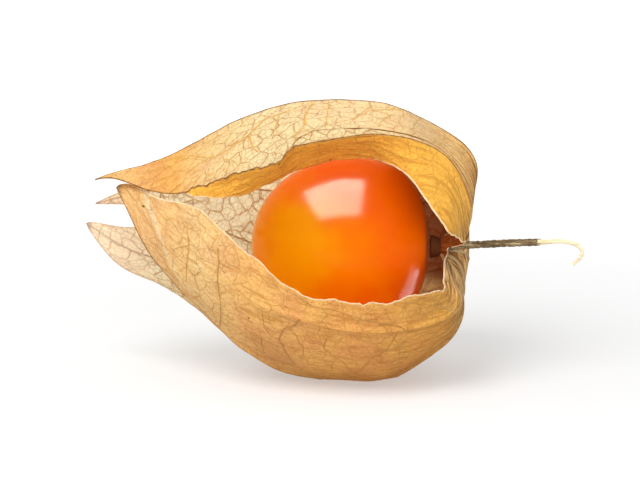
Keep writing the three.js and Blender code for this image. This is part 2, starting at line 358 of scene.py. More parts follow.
def huskPoints(strip, station, across, lift=0.0):
    # points on a strip, and how far each is from the strip's two lines, all in millimetres
    station, across = np.broadcast_arrays(np.asarray(station, float), np.asarray(across, float))
    body = np.minimum(station, husk["split"])
    inner = traced(strip["inner"], station)
    outer = traced(strip["side"], body)
    closing = np.ones_like(station)
    if "tip" in strip:
        done = ramp(station, husk["split"], strip["tip"])
        closing = (1 - done ** strip["taper"][0]) ** strip["taper"][1]
        start = outer - traced(strip["inner"], body)
        outer = np.where((station > husk["split"])[..., None], inner + start * closing[..., None], outer)
    section = through(sections, station)
    ribbed = smoothstep(section[..., 1], *husk["smoothRing"]) * closing ** 2
    width = np.abs(outer[..., 0] - inner[..., 0])
    wide = smoothstep(width, 0, husk["fullPanel"])
    pleats = bump(station, husk["pleatStation"], husk["pleatReach"])
    sunk = husk["panelHollow"] * strip.get("hollow", 1) + husk["pleatHollow"] * pleats * strip.get("pleat", 1)
    hollow = sunk * wide * ribbed * np.sin(np.pi * across)

    place = inner + (outer - inner) * across[..., None]
    turn = np.radians(place[..., 0])
    millimetres = section[..., 1] * np.hypot(np.radians(width) * place[..., 1], outer[..., 1] - inner[..., 1])
    fromInner = across * millimetres
    fromSide = (1 - across) * millimetres

    innerRib = husk["ribHeight"] * bump(fromInner, 0, husk["ribWidth"])
    seamFade = smoothstep(husk["split"] - station, 0, 1)
    if strip["inner"] in seams:
        innerRib = innerRib * seamFade
    if strip["inner"] == "frontKeel":  # this rib sinks into the sheet before it comes to the tip
        innerRib = innerRib * (1 - 0.9 * smoothstep(station, *husk["ribSinks"]))
    sideRib = 0.0
    if strip["side"] in seams:
        sideRib = husk["ribHeight"] * bump(fromSide, 0, husk["ribWidth"]) * seamFade
    rise = (innerRib + sideRib) * ribbed + lift

    if strip["name"] == "topFront":  # the welt that swells from the front seam and ends in a step
        welt = np.interp(station, *zip(*husk["weltWidths"]))
        swell = ramp(fromSide, 0, welt + 0.01) * (1 - smoothstep(fromSide, welt - 0.05, welt + 0.2))
        rise = rise + husk["weltHeight"] * smoothstep(welt, 0, 0.8) * swell
    if strip["inner"] == "frontKeel":
        offFold = np.radians(place[..., 0] - foldTurn(station)) * section[..., 1] * place[..., 1]
        folded = smoothstep(station, *husk["foldStarts"]) * closing
        rise = rise + husk["foldHeight"] * folded * bump(offFold, 0, husk["foldWidth"])

    waves = [np.sin(along * station + around * turn) for along, around in husk["puckerWaves"]]
    radius = section[..., 1] * place[..., 1] * (1 - hollow + husk["pucker"] * waves[0] * waves[1]) + rise

    def onLantern(radius):
        return np.stack([
            section[..., 0] + place[..., 2],
            -radius * np.sin(turn),
            section[..., 2] + radius * np.cos(turn),
        ], -1)

    points = onLantern(radius)
    strength = (smoothstep(section[..., 1], 2, 6) * (0.3 + 0.7 * closing)).ravel()
    radius = radius + relief(points.reshape(-1, 3), strength).reshape(radius.shape)
    points = onLantern(radius)
    points[..., 2] = np.maximum(points[..., 2], husk["thickness"] / 2)
    return points, fromInner, fromSide


def acrossShares():
    even = np.linspace(0, 1, husk["columns"] + 1)
    return even - husk["crowding"] * np.sin(2 * np.pi * even) / (2 * np.pi)


def alongHusk(station):
    # millimetres along the husk from the ring
    fine = np.linspace(0, 11, 441)
    places = through(sections, fine)[:, :2]
    steps = np.linalg.norm(np.diff(places, axis=0), axis=1)
    return np.interp(station, fine, np.concatenate([[0], np.cumsum(steps)]))


def makeHuskMesh():
    keys, points, faces, corners = {}, [], [], []
    for strip in strips:
        stations = np.linspace(0, husk["split"], husk["bodyRows"] + 1)
        if "tip" in strip:
            tips = np.linspace(husk["split"], strip["tip"], husk["tipRows"] + 1)[1:]
            stations = np.concatenate([stations, tips])
        places, fromInner, fromSide = huskPoints(strip, stations[:, None], acrossShares()[None, :])
        far = np.full_like(fromInner, 9.0)
        innerIsKeel = strip["inner"] not in seams
        keelGap = fromInner if innerIsKeel else far
        if strip["inner"] == "frontKeel":
            keelGap = fromInner + far * smoothstep(stations, 3, 4)[:, None]
        seamGap = fromInner if not innerIsKeel else (far if strip["side"] in tornEdges else fromSide)
        along = np.broadcast_to(alongHusk(stations)[:, None], far.shape)
        tipGap = along[-1, 0] - along if "tip" in strip else far + 9
        station = np.broadcast_to(stations[:, None], far.shape)
        edged = strip["side"] == "lowerTear" or (strip["side"] == "upperTear") & (station < 3.3)
        tearGap = np.where(edged, fromSide, far)
        pale = np.interp(station, *zip(*strip["pale"]))
        remnant = smoothstep(station, 1.5, 4) * (strip["name"] == "remnant")
        # painted shade: darker brown on the remnant and on the front sepal's strip that turns away beyond its
        # fold
        shadeBrown = 0.35 * remnant
        if strip["inner"] == "frontKeel":
            shares = acrossShares()
            sideTurn = traced(strip["side"], np.minimum(stations, husk["split"]))[:, None, 0]
            turn = traced(strip["inner"], stations)[:, None, 0] * (1 - shares) + sideTurn * shares
            radius = through(sections, station)[..., 1]
            beyondFold = np.radians(turn - foldTurn(station)) * radius
            tipped = smoothstep(station, 7.9, 8.3)
            # a painted highlight: a pale stripe beside the fold of the front sepal
            pale = pale + 0.5 * tipped * bump(beyondFold, -0.7, 0.45)
            # painted shade on the strip that turns away beyond the fold
            shadeBrown = shadeBrown + 0.45 * tipped * smoothstep(beyondFold, -0.1, 0.25)
        sign = -1 if strip.get("flipped") else 1
        sheetY = sign * fromInner + 40 * strips.index(strip) // 2
        facts = np.stack([keelGap, seamGap, tearGap, along, tipGap, remnant, pale, shadeBrown, sheetY], -1)
        index = np.empty(far.shape, int)
        for at in np.ndindex(far.shape):
            key = tuple(np.round(places[at], 3))
            if key not in keys:
                keys[key] = len(points)
                points.append(places[at] * mm)
            index[at] = keys[key]
        for row in range(far.shape[0] - 1):
            for column in range(far.shape[1] - 1):
                square = [(row, column), (row, column + 1), (row + 1, column + 1), (row + 1, column)]
                if strip.get("flipped"):
                    square.reverse()
                kept, seen = [], set()
                for at in square:
                    if index[at] not in seen:
                        seen.add(index[at])
                        kept.append(at)
                if len(kept) > 2:
                    faces.append([int(index[at]) for at in kept])
                    corners.extend(facts[at] for at in kept)
    mesh = bpy.data.meshes.new("husk_sheet")
    mesh.from_pydata(points, [], faces)
    mesh.update()
    corners = np.array(corners, np.float32)
    names = ("keelGap", "seamGap", "tearGap", "alongHusk", "tipGap", "remnant", "pale", "shadeBrown")
    for at, name in enumerate(names):
        mesh.attributes.new(name, "FLOAT", "CORNER").data.foreach_set("value", corners[:, at].copy())
    # the sheet laid flat, in millimetres along and across, for the nets of veins
    flat = np.stack([corners[:, 3], corners[:, 8], 0 * corners[:, 3]], -1)
    mesh.attributes.new("sheetPlace", "FLOAT_VECTOR", "CORNER").data.foreach_set("vector", flat.ravel())
    mesh.shade_smooth()
    return mesh


huskLook = {
    "tan": tone(230, 177, 96),
    "tanRosy": tone(220, 156, 92),
    "tanDeep": tone(196, 134, 58),
    "golden": tone(240, 180, 70),
    "cream": tone(245, 254, 209),
    "insidePale": tone(255, 252, 238),
    "bleached": tone(240, 224, 192),
    # orange of the painted berry light on the shaded remnant
    "orange": tone(255, 188, 52),
    # colour of the painted shade on the remnant and beyond the front fold
    "shadeBrown": tone(214, 170, 108),
    "base": tone(124, 76, 34),
    "basePale": tone(238, 192, 122),
    "vein": tone(198, 142, 62),
    "seam": tone(160, 112, 60),
    # colour of the painted shade in creases
    "crease": tone(166, 106, 44),
    "speck": tone(96, 60, 32),
    "tip": tone(132, 104, 74),
    "paleEdge": tone(250, 234, 200),
    "glow": tone(254, 228, 140),
    "glowPale": tone(254, 248, 226),
    "glowVein": tone(198, 142, 72),
    # colour of the painted shade in the hollow round the stalk
    "hollow": tone(150, 76, 20),
    "translucency": (0.26, 0.6),  # where the sheet is thick and where it is thin
    "clearness": 0.1,  # share that light passes straight through where the sheet is thin
    "netTone": (0.5, 0.85),
    "netGlow": (0.4, 0.9),
    "roughness": (0.5, 0.72),
    "cell": 1.9,  # millimetres across a cell of the vein net
    "lineWidth": (0.11, 0.15),
    "smallCell": 0.7,
    "smallLine": 0.07,
    "speckGap": 3.2,
    "brownReach": (15, 6),  # millimetres along the husk over which it turns brown towards the stalk
    "goldenReach": (26, 11),  # the same for the golden shoulder
    # painted shade in the hollow inside, over this reach and these heights
    "hollowShadeReach": (20, 16.5),  # the same for the dark hollow inside, with heights above the floor
    "hollowShadeHeight": (8, 10.5),
    "bump": 1.0,
}


def huskNet(tree, sheetPlace, cell, lineWidth):
    bend = noiseOn(tree, sheetPlace, 1 / (cell * 1.2), 2, output="Color")
    moved = add(tree, "ShaderNodeVectorMath", {0: bend, 1: (0.5, 0.5, 0.5)}, operation="SUBTRACT").outputs[0]
    scaled = add(tree, "ShaderNodeVectorMath", {0: moved, "Scale": cell * 0.9}, operation="SCALE").outputs[0]
    bent = add(tree, "ShaderNodeVectorMath", {0: sheetPlace, 1: scaled}, operation="ADD").outputs[0]
    cells = add(tree, "ShaderNodeTexVoronoi", {"Vector": bent, "Scale": 1 / cell}, feature="DISTANCE_TO_EDGE",
                voronoi_dimensions="2D")
    far = times(tree, lineWidth, 0.8 / cell)
    return remap(tree, cells.outputs["Distance"], far, times(tree, far, 0.15))


def makeDryHusk(name, inside=False):
    look = huskLook
    material, tree = newMaterial(name)
    place = objectPlace(tree)
    sheetPlace = attribute(tree, "sheetPlace", "Vector")
    pale = attribute(tree, "pale")
    remnant = attribute(tree, "remnant")
    tipGap = attribute(tree, "tipGap")
    along = attribute(tree, "alongHusk")
    clouds = noiseOn(tree, place, 1 / (5 * mm), 4, 0.6)
    patches = noiseOn(tree, place, 1 / (2.2 * mm), 3, 0.55)
    grain = noiseOn(tree, place, 1 / (0.3 * mm), 3, 0.6)
    wrinkles = noiseOn(tree, stretch(tree, sheetPlace, 0.22, 1, 1), 1.7, 3, 0.55, 0.4)
    pleats = noiseOn(tree, stretch(tree, sheetPlace, 0.13, 1.5, 1), 1.5, 3, 0.6, 0.3)
    folds = noiseOn(tree, place, 1 / (2.6 * mm), 3, 0.6, 0.3, noise_type="RIDGED_MULTIFRACTAL")
    nearBase = remap(tree, along, *look["brownReach"])
    shoulder = remap(tree, along, *look["goldenReach"])
    rough = larger(tree, times(tree, shoulder, 0.8), remnant)

    # two nets of veins, the fine one fainter, which both come and go
    net = huskNet(tree, sheetPlace, look["cell"], remap(tree, pale, 0, 0.8, *look["lineWidth"]))
    net = times(tree, net, remap(tree, patches, 0.35, 0.6, 0.6, 1))
    fineNet = huskNet(tree, sheetPlace, look["smallCell"], look["smallLine"])
    fineNet = times(tree, fineNet, remap(tree, clouds, 0.4, 0.6, 0.3, 0.65))
    veins = larger(tree, net, fineNet)
    keel = remap(tree, attribute(tree, "keelGap"), 0.2, 0.05)
    seam = remap(tree, attribute(tree, "seamGap"), 0.2, 0.05)
    tear = remap(tree, attribute(tree, "tearGap"), 0.14, 0.05)
    ribs = larger(tree, keel, seam)
    tipEnd = remap(tree, tipGap, 1.1, 0.1)

    # painted shade in its creases, with a few dark specks
    creaseShade = plus(tree, remap(tree, folds, 0.4, 0.85, 0, 0.6), remap(tree, wrinkles, 0.52, 0.32, 0, 0.5))
    creaseShade = times(tree, creaseShade, remap(tree, pale, 0, 0.8, 1, 0.4))
    creaseShade = larger(tree, creaseShade, times(tree, rough, remap(tree, pleats, 0.5, 0.38, 0, 0.7)))
    bleached = times(tree, pale, remap(tree, tipGap, 9, 5))
    dots = add(tree, "ShaderNodeTexVoronoi", {"Vector": place, "Scale": 1 / (look["speckGap"] * mm)})
    chosen = add(tree, "ShaderNodeSeparateColor", {0: dots.outputs["Color"]}).outputs[0]
    chosen = calc(tree, "GREATER_THAN", chosen, 0.45)
    speck = times(tree, remap(tree, dots.outputs["Distance"], 0.07, 0.035), chosen)

    # cloudy tan, cream where it is bleached, painted orange berry light and shade on the folded remnant,
    # painted shade in creases and where the sheet turns away, and brown towards the stalk
    surface = layered(
        tree, look["tan"],
        (remap(tree, clouds, 0.4, 0.62), look["tanRosy"]),
        (remap(tree, patches, 0.5, 0.75, 0, 0.7), look["tanDeep"]),
        (times(tree, shoulder, 0.6), look["golden"]),
        (pale, look["cream"]),
        # painted light: orange reflected from the berry onto the shaded remnant, here and in a second layer
        # below
        (times(tree, remnant, 0.95), look["orange"]),
        # painted shade on the remnant and beyond the front sepal's fold
        (attribute(tree, "shadeBrown"), look["shadeBrown"]),
        # painted shade in the creases
        (creaseShade, look["crease"]),
        (nearBase, blend(tree, remap(tree, pleats, 0.45, 0.57), look["base"], look["basePale"])),
        (remap(tree, grain, 0.42, 0.68, 0, 0.55), look["tanDeep"]),
        (times(tree, remnant, 0.3), look["orange"]),
        (bleached, look["bleached"]),
        (times(tree, veins, remap(tree, pale, 0, 1, *look["netTone"])), look["vein"]),
        (times(tree, ribs, 0.3), look["seam"]),
        (times(tree, tear, 0.8), look["paleEdge"]),
        (speck, look["speck"]),
        (times(tree, tipEnd, 0.85), look["tip"]))
    glowing = layered(
        tree, look["glow"],
        (times(tree, shoulder, 0.6), look["golden"]),
        (pale, look["glowPale"]),
        # painted orange berry light in the light passing through the remnant
        (times(tree, remnant, 0.6), look["orange"]),
        (bleached, look["bleached"]),
        (nearBase, look["base"]),
        (times(tree, veins, remap(tree, pale, 0, 1, *look["netGlow"])), look["glowVein"]),
        (larger(tree, times(tree, ribs, 0.6), tipEnd), look["glowVein"]))
    if inside:  # pale in its depth, with a dark hollow round the stalk
        # painted shade in the hollow round the stalk, low down and near the base
        low, high = look["hollowShadeHeight"]
        above = remap(tree, axisOf(tree, place, 2), low * mm, high * mm)
        depth = times(tree, remap(tree, along, *look["hollowShadeReach"]), above)
        surface = blend(tree, times(tree, pale, 0.5), surface, look["insidePale"])
        surface = blend(tree, depth, surface, look["hollow"])
        glowing = blend(tree, depth, glowing, look["hollow"])

    # embossed veins, fine grain and long wrinkles that deepen towards the stalk and on the remnant
    height = plus(tree, times(tree, veins, 0.18), times(tree, grain, 0.3))
    pleated = plus(tree, times(tree, nearBase, 1.4), times(tree, rough, 0.8))
    wrinkled = remap(tree, rough, 0, 1, 0.6, 1.2)
    for layer, strength in ((wrinkles, wrinkled), (pleats, pleated), (folds, 0.7)):
        height = plus(tree, height, times(tree, layer, strength))
    normal = bumpOn(tree, height, look["bump"], 0.3)
    skin = shade(tree, surface, remap(tree, clouds, 0.3, 0.75, *look["roughness"]), normal, 0.3)
    glow = add(tree, "ShaderNodeBsdfTranslucent", {"Color": glowing, "Normal": normal})
    share = remap(tree, pale, 0, 1, *look["translucency"])
    paper = mixShaders(tree, times(tree, share, remap(tree, nearBase, 0, 1, 1, 0.4)), skin, glow)
    gaps = times(tree, pale, calc(tree, "SUBTRACT", 1.0, larger(tree, veins, tipEnd)))
    clear = add(tree, "ShaderNodeBsdfTransparent")
    showShader(tree, mixShaders(tree, times(tree, gaps, look["clearness"]), paper, clear))
    return material


huskSheet = addObject("husk_sheet", makeHuskMesh())
huskSheet.data.materials.append(makeDryHusk("dryHusk"))
huskSheet.data.materials.append(makeDryHusk("dryHuskInside", inside=True))
wall = huskSheet.modifiers.new("paper", "SOLIDIFY")
wall.thickness = husk["thickness"] * mm
wall.offset = 0
wall.material_offset = 1
finishPiece(huskSheet, "dry_husk", "husk")
print("husk sheet:", len(huskSheet.data.polygons), "faces")


def openTree(name, extras):
    tree = bpy.data.node_groups.new(name, "GeometryNodeTree")
    tree.interface.new_socket("Geometry", in_out="INPUT", socket_type="NodeSocketGeometry")
    for label, kind, value in extras:
        socket = tree.interface.new_socket(label, in_out="INPUT", socket_type=kind)
        if value is not None:
            socket.default_value = value
    tree.interface.new_socket("Geometry", in_out="OUTPUT", socket_type="NodeSocketGeometry")
    return tree, tree.nodes.new("NodeGroupInput"), tree.nodes.new("NodeGroupOutput")


def closeTree(tree, geometry, material, output):
    smooth = add(tree, "GeometryNodeSetShadeSmooth", {"Geometry": geometry})
    real = add(tree, "GeometryNodeRealizeInstances", {"Geometry": smooth.outputs[0]})
    painted = add(tree, "GeometryNodeSetMaterial", {"Geometry": real.outputs[0], "Material": material})
    tree.links.new(painted.outputs[0], output.inputs[0])
    return tree


def makeTubeTree():
    extras = [
        ("Sides", "NodeSocketInt", 6),
        ("Thickness", "NodeSocketFloat", 1.0),
        ("Material", "NodeSocketMaterial", None),
    ]
    tree, group, output = openTree("tubesAlongLines", extras)
    lines = add(tree, "GeometryNodeMeshToCurve", {"Mesh": group.outputs["Geometry"]})
    radius = add(tree, "GeometryNodeInputNamedAttribute", {"Name": "lineRadius"}, data_type="FLOAT")
    scaled = times(tree, radius.outputs[0], group.outputs["Thickness"])
    ring = add(tree, "GeometryNodeCurvePrimitiveCircle", {
        "Resolution": group.outputs["Sides"], "Radius": 1.0})
    tubes = add(tree, "GeometryNodeCurveToMesh", {
        "Curve": lines.outputs[0], "Profile Curve": ring.outputs[0], "Scale": scaled, "Fill Caps": True})
    return closeTree(tree, tubes.outputs[0], group.outputs["Material"], output)


def makeHairTree():
    extras = [
        ("Gap", "NodeSocketFloat", 0.3 * mm),
        ("Hair Length", "NodeSocketFloat", 0.35 * mm),
        ("Hair Radius", "NodeSocketFloat", 0.02 * mm),
        ("Seed", "NodeSocketInt", 4),
        ("Material", "NodeSocketMaterial", None),
    ]
    tree, group, output = openTree("hairsAlongLines", extras)
    lines = add(tree, "GeometryNodeMeshToCurve", {"Mesh": group.outputs["Geometry"]})
    spots = add(tree, "GeometryNodeCurveToPoints", {
        "Curve": lines.outputs[0], "Length": group.outputs["Gap"]}, mode="LENGTH")
    hair = add(tree, "GeometryNodeMeshCone", {
        "Vertices": 3, "Radius Top": 0.0, "Radius Bottom": group.outputs["Hair Radius"],
        "Depth": group.outputs["Hair Length"]})
    turn = add(tree, "FunctionNodeRandomValue", {"Seed": group.outputs["Seed"]}, data_type="FLOAT_VECTOR")
    turn.inputs[0].default_value = (-math.pi, -math.pi, -math.pi)
    turn.inputs[1].default_value = (math.pi, math.pi, math.pi)
    size = add(tree, "FunctionNodeRandomValue", {"Seed": group.outputs["Seed"]}, data_type="FLOAT")
    size.inputs[2].default_value = 0.5
    size.inputs[3].default_value = 1.2
    turned = add(tree, "FunctionNodeEulerToRotation", {0: turn.outputs[0]})
    hairs = add(tree, "GeometryNodeInstanceOnPoints", {
        "Points": spots.outputs[0], "Instance": hair.outputs[0], "Rotation": turned.outputs[0],
        "Scale": size.outputs[1]})
    return closeTree(tree, hairs.outputs[0], group.outputs["Material"], output)


def runTree(name, lines, tree, values):
    # lines is a list of (points in millimetres, radii in millimetres)
    points, edges, radii = [], [], []
    for path, width in lines:
        first = len(points)
        points.extend(tuple(point * mm) for point in path)
        radii.extend(np.broadcast_to(width, len(path)) * mm)
        edges.extend((first + at, first + at + 1) for at in range(len(path) - 1))
    guide = bpy.data.meshes.new(name + "_lines")
    guide.from_pydata(points, edges, [])
    widths = guide.attributes.new("lineRadius", "FLOAT", "POINT")
    widths.data.foreach_set("value", np.array(radii, np.float32))
    piece = addObject(name, guide)
    growth = piece.modifiers.new("growth", "NODES")
    growth.node_group = tree
    for item in tree.interface.items_tree:
        if item.item_type == "SOCKET" and item.in_out == "INPUT" and item.name in values:
            growth[item.identifier] = values[item.name]
    bpy.context.view_layer.update()
    evaluated = piece.evaluated_get(bpy.context.evaluated_depsgraph_get())
    made = bpy.data.meshes.new_from_object(evaluated)
    piece.modifiers.remove(growth)
    piece.data = made
    made.name = name
    bpy.data.meshes.remove(guide)
    return piece


tubeTree = makeTubeTree()
hairTree = makeHairTree()


veins = {
    "baseRadius": 0.24,  # millimetres, of a rib at the base
    "ribRadius": 0.1,
    "frontRibRadius": 0.05,
    "tipRadius": 0.06,
    "ribThins": (1.6, 3.8),  # stations between which a rib narrows
    "ribSink": 0.03,
    "branchSink": 0.02,
    "branchRadius": (0.085, 0.035),
    "twigRadius": 0.035,
    "twigSink": 0.01,
    "mainRadius": (0.12, 0.06),
    "smallRadius": (0.075, 0.045),
    "branchStations": (2.4, 3.5, 4.6, 5.6, 6.5, 7.4, 8.3, 9.1),
    "branchAdvance": 1.25,  # stations
    "branchEnd": 0.88,  # share of the way to the side line
    "forks": (0.35, 0.6, 0.85),  # shares of the way along a branch where a twig leaves it
    "steps": 26,
    "twigSteps": 12,
    "seed": 11,
    "stepShadowLine": 0.07,
    "marginLine": 0.05,
    "foldRadius": 0.085,
    "lowerRim": 0.04,
    "upperRim": 0.05,
    "baseRim": 0.08,
    "hairBand": 0.12,  # above the sheet
    "hairSeed": 4,
    "veinTones": (tone(226, 186, 98), tone(212, 164, 78)),
    "veinLow": tone(190, 130, 66),  # towards the underside
    "veinBase": tone(206, 178, 130),
    "foldTones": (tone(178, 124, 68), tone(122, 80, 44)),
    "rimTones": (tone(250, 230, 190), tone(232, 200, 148)),
    "hairTones": (tone(240, 226, 196), tone(222, 200, 160)),
}

# Large veins of the two sepals beside the tear, as stations and shares of the way from the keel. Shares
# below zero lie on the other half of the sepal.
topVeins = [
    [(6.7, 0.22), (6.93, 0.46), (7.22, 0.58), (7.53, 0.61), (7.85, 0.47), (8.08, 0.29), (8.49, 0.09)],
    [(5.96, 0.05), (6.07, 0.44), (6.08, 0.69), (6.18, 0.79), (6.22, 0.96)],
    [(6.96, 0.47), (6.89, 0.69), (6.8, 0.8)],
    [(7.7, 0), (7.78, 0.1), (7.85, 0.19)],
    [(7.35, 0.72), (7.2, 0.82), (7.11, 0.92)],
    [(8.47, 0.4), (8.84, 0.31), (9.25, 0.37), (9.7, 0.69)],
    [(8.91, 0), (8.33, 0.23), (7.79, 0.56), (7.53, 0.62)],
    [(5.72, 0), (5.74, 0.37), (5.77, 0.72)],
    [(5.13, 0.15), (5.3, 0.44), (5.45, 0.69)],
    [(4.88, 0.37), (4.95, 0.5), (5.03, 0.65)],
    [(6.46, 0.17), (6.51, 0.43), (6.57, 0.67)],
    [(6.7, 0.22), (6.3, 0.17), (5.96, 0.02)],
]
frontVeins = [
    [(6.14, -0.06), (6.2, 0.06), (6.38, 0.16), (6.42, 0.23), (6.46, 0.32), (6.4, 0.39), (6.33, 0.5),
     (6.22, 0.64)],
    [(6.3, 0.14), (6.2, 0.18), (6.15, 0.26), (6.09, 0.3), (6.1, 0.44)],
    [(5.76, 0.13), (5.79, 0.24), (5.63, 0.33), (5.53, 0.38), (5.42, 0.53)],
    [(6.72, 0.1), (6.69, 0.24), (6.6, 0.32), (6.46, 0.33)],
    [(6.75, 0.44), (6.74, 0.58), (6.71, 0.72)],
    [(8.09, -0.52), (8.05, -0.26), (8.1, 0.09), (8.14, 0.52)],
    [(7.47, -0.61), (7.46, -0.35), (7.48, -0.08), (7.47, 0.16), (7.44, 0.45), (7.48, 0.99)],
    [(9.07, -0.89), (8.69, -0.52), (8.39, -0.63), (8.07, -0.58), (7.85, -0.68)],
    [(8.04, -0.27), (8.37, 0), (8.48, 0.22)],
]
mainVeins = (topVeins[0], topVeins[1], topVeins[2], frontVeins[0], frontVeins[5], frontVeins[6])
dice = random.Random(veins["seed"])


def onStrip(strip, station, across, lift=0.0):
    # on the outer face of the sheet
    return huskPoints(strip, station, across, husk["thickness"] / 2 + lift)[0]


def wiggle(count, size):
    # a slow random sway with its ends held
    knots = np.array([0] + [dice.uniform(-size, size) for _ in range(5)] + [0])
    return through(knots, np.linspace(0, 6, count))


def onSepal(over, under, rows):
    # a smooth line over both halves of a sepal
    count = 8 * len(rows)
    line = through(rows, np.linspace(0, len(rows) - 1, count))
    near = onStrip(stripNamed[over], line[:, 0], np.abs(line[:, 1]), -veins["branchSink"])
    far = onStrip(stripNamed[under], line[:, 0], np.abs(line[:, 1]), -veins["branchSink"])
    return np.where(line[:, 1:] >= 0, near, far)


def edgeLine(name, start, end, count, width, across=1.0, lift=0.0):
    # a line along a strip from station to station, on its side line unless told otherwise
    stations = np.linspace(start, end, count)
    shown = width(stations) if callable(width) else width
    path = onStrip(stripNamed[name], stations, across(stations) if callable(across) else across, lift)
    return path, shown


def foldWidth(stations):
    ragged = veins["foldRadius"] * (1 + 0.3 * np.sin(stations * 29) * np.sin(stations * 17))
    return ragged * (0.55 + 0.45 * smoothstep(stations, 5.0, 6.4))


def weltStep(stations):
    # how far across its strip the welt beside the front seam steps down
    fullWidth = huskPoints(stripNamed["topFront"], stations, 0.0)[2]
    return 1 - np.interp(stations, *zip(*husk["weltWidths"])) / fullWidth


def upperRimWidth(stations):
    return veins["upperRim"] * (1 + 1.2 * bump(stations, 4.6, 1.5))


def baseRimWidth(stations):
    return veins["baseRim"] * (1 - 0.5 * smoothstep(stations, 2.6, 3.4))


def makeVeinMaterial(name, tones, translucency, lowAndBase=None):
    material, tree = newMaterial(name)
    place = objectPlace(tree)
    streaks = noiseOn(tree, place, 1 / (0.6 * mm), 3, 0.6)
    tint = blend(tree, remap(tree, streaks, 0.35, 0.7), *tones)
    if lowAndBase:
        low, base = lowAndBase
        tint = blend(tree, remap(tree, axisOf(tree, place, 2), 20 * mm, 13 * mm, 0, 0.7), tint, low)
        tint = blend(tree, remap(tree, axisOf(tree, place, 0), 9 * mm, 12.5 * mm), tint, base)
    normal = bumpOn(tree, noiseOn(tree, place, 1 / (0.2 * mm), 2), 0.4, 0.05)
    skin = shade(tree, tint, remap(tree, streaks, 0.2, 0.8, 0.55, 0.8), normal)
    glow = add(tree, "ShaderNodeBsdfTranslucent", {"Color": tint, "Normal": normal})
    showShader(tree, mixShaders(tree, translucency, skin, glow))
    return material


# the ribs, and the bands near the base that carry hairs
ribLines, branchLines, baseLines, outlineLines = [], [], [], []
drawn = set()
for strip in strips:
    for line, across in ((strip["inner"], 0), (strip["side"], 1)):
        if line in drawn or line in tornEdges or line == "frontSeam":
            continue
        drawn.add(line)
        end = strip.get("tip", husk["split"]) if line == strip["inner"] else husk["split"]
        stations = np.linspace(0.25, end, 150)
        path = onStrip(strip, stations, across, -veins["ribSink"])
        thin = veins["frontRibRadius"] if line == "frontKeel" else veins["ribRadius"]
        width = veins["baseRadius"] + (thin - veins["baseRadius"]) * smoothstep(stations, *veins["ribThins"])
        width = width + (veins["tipRadius"] - thin) * smoothstep(stations, 8, end + 0.01)
        if line in seams:
            width = width * 0.8 * (1 - 0.5 * smoothstep(stations, 7, 8.2))
        if line == "frontKeel":  # the rib fades before it comes to the tip
            kept = stations < 6.8
            path, width = path[kept], width[kept] * (1 - smoothstep(stations[kept], 6, 6.9))
        (outlineLines if line == "topKeel" else ribLines).append((path, width))
        baseLines.append((onStrip(strip, np.linspace(0.8, 3.4, 40), across, veins["hairBand"]), 0))

# branches that leave each rib by a rule with some chance in it, and the twigs on them
for strip in strips:
    if strip["name"] == "remnant":
        continue
    lastStart = 4.7 if strip["name"] in ("topFront", "frontUnder", "frontRim") else 11
    tip = strip["tip"]
    thick, thin = veins["branchRadius"]
    share = np.linspace(0, 1, veins["steps"])
    twig = np.linspace(0, 1, veins["twigSteps"])
    for start in veins["branchStations"]:
        if start > min(tip - 1.0, lastStart):
            continue
        start += dice.uniform(-0.2, 0.2)
        advance = veins["branchAdvance"] * dice.uniform(0.8, 1.25) * min(1, (tip - start) / 2.2)
        station = start + advance * share ** 1.25 + wiggle(veins["steps"], 0.07)
        station = np.minimum(station, tip - 0.15)
        across = np.clip(veins["branchEnd"] * share ** 0.9 + wiggle(veins["steps"], 0.03), 0, 0.97)
        path = onStrip(strip, station, across, -veins["branchSink"])
        branchLines.append((path, thick + (thin - thick) * share))
        for fork in veins["forks"]:
            at = int(fork * (veins["steps"] - 1))
            side = dice.choice((-1, 1))
            reach = dice.uniform(0.35, 0.7)
            twigStation = station[at] + side * reach * twig + wiggle(veins["twigSteps"], 0.05)
            twigAcross = across[at] + dice.uniform(0.04, 0.22) * twig + wiggle(veins["twigSteps"], 0.02)
            if twigStation.max() > tip - 0.1:
                continue
            path = onStrip(strip, twigStation, np.clip(twigAcross, 0, 0.98), -veins["twigSink"])
            branchLines.append((path, veins["twigRadius"] * (1 - 0.4 * twig)))

for over, under, group in (("topFront", "topBack", topVeins), ("frontUnder", "frontRim", frontVeins)):
    for rows in group:
        path = onSepal(over, under, rows)
        thick, thin = veins["mainRadius"] if rows in mainVeins else veins["smallRadius"]
        branchLines.append((path, np.linspace(thick, thin, len(path))))

# the dark ragged fold along the front seam, a fine line of painted shadow where its welt steps down, and two
# margins
foldLines = [
    edgeLine("topFront", 0.6, husk["split"], 420, foldWidth, lift=0.02),
    edgeLine("topFront", husk["split"], 10.45, 60, veins["marginLine"]),
    edgeLine("topFront", 2.6, 6.25, 140, veins["stepShadowLine"], across=weltStep),
    edgeLine("frontUnder", husk["split"], 9.9, 70, veins["marginLine"]),
]
rimLines = [
    edgeLine("frontRim", 0.75, 9.9, 380, veins["lowerRim"]),
    edgeLine("remnant", 3.2, 8.1, 240, upperRimWidth),
    edgeLine("remnant", 0.75, 3.4, 90, baseRimWidth),
]

lowAndBase = (veins["veinLow"], veins["veinBase"])
veinMaterial = makeVeinMaterial("huskVein", veins["veinTones"], 0.4, lowAndBase)
seamMaterial = makeVeinMaterial("huskFold", veins["foldTones"], 0.3)
rimMaterial = makeVeinMaterial("huskRim", veins["rimTones"], 0.4)
hairMaterial = makeVeinMaterial("huskHair", veins["hairTones"], 0.3)

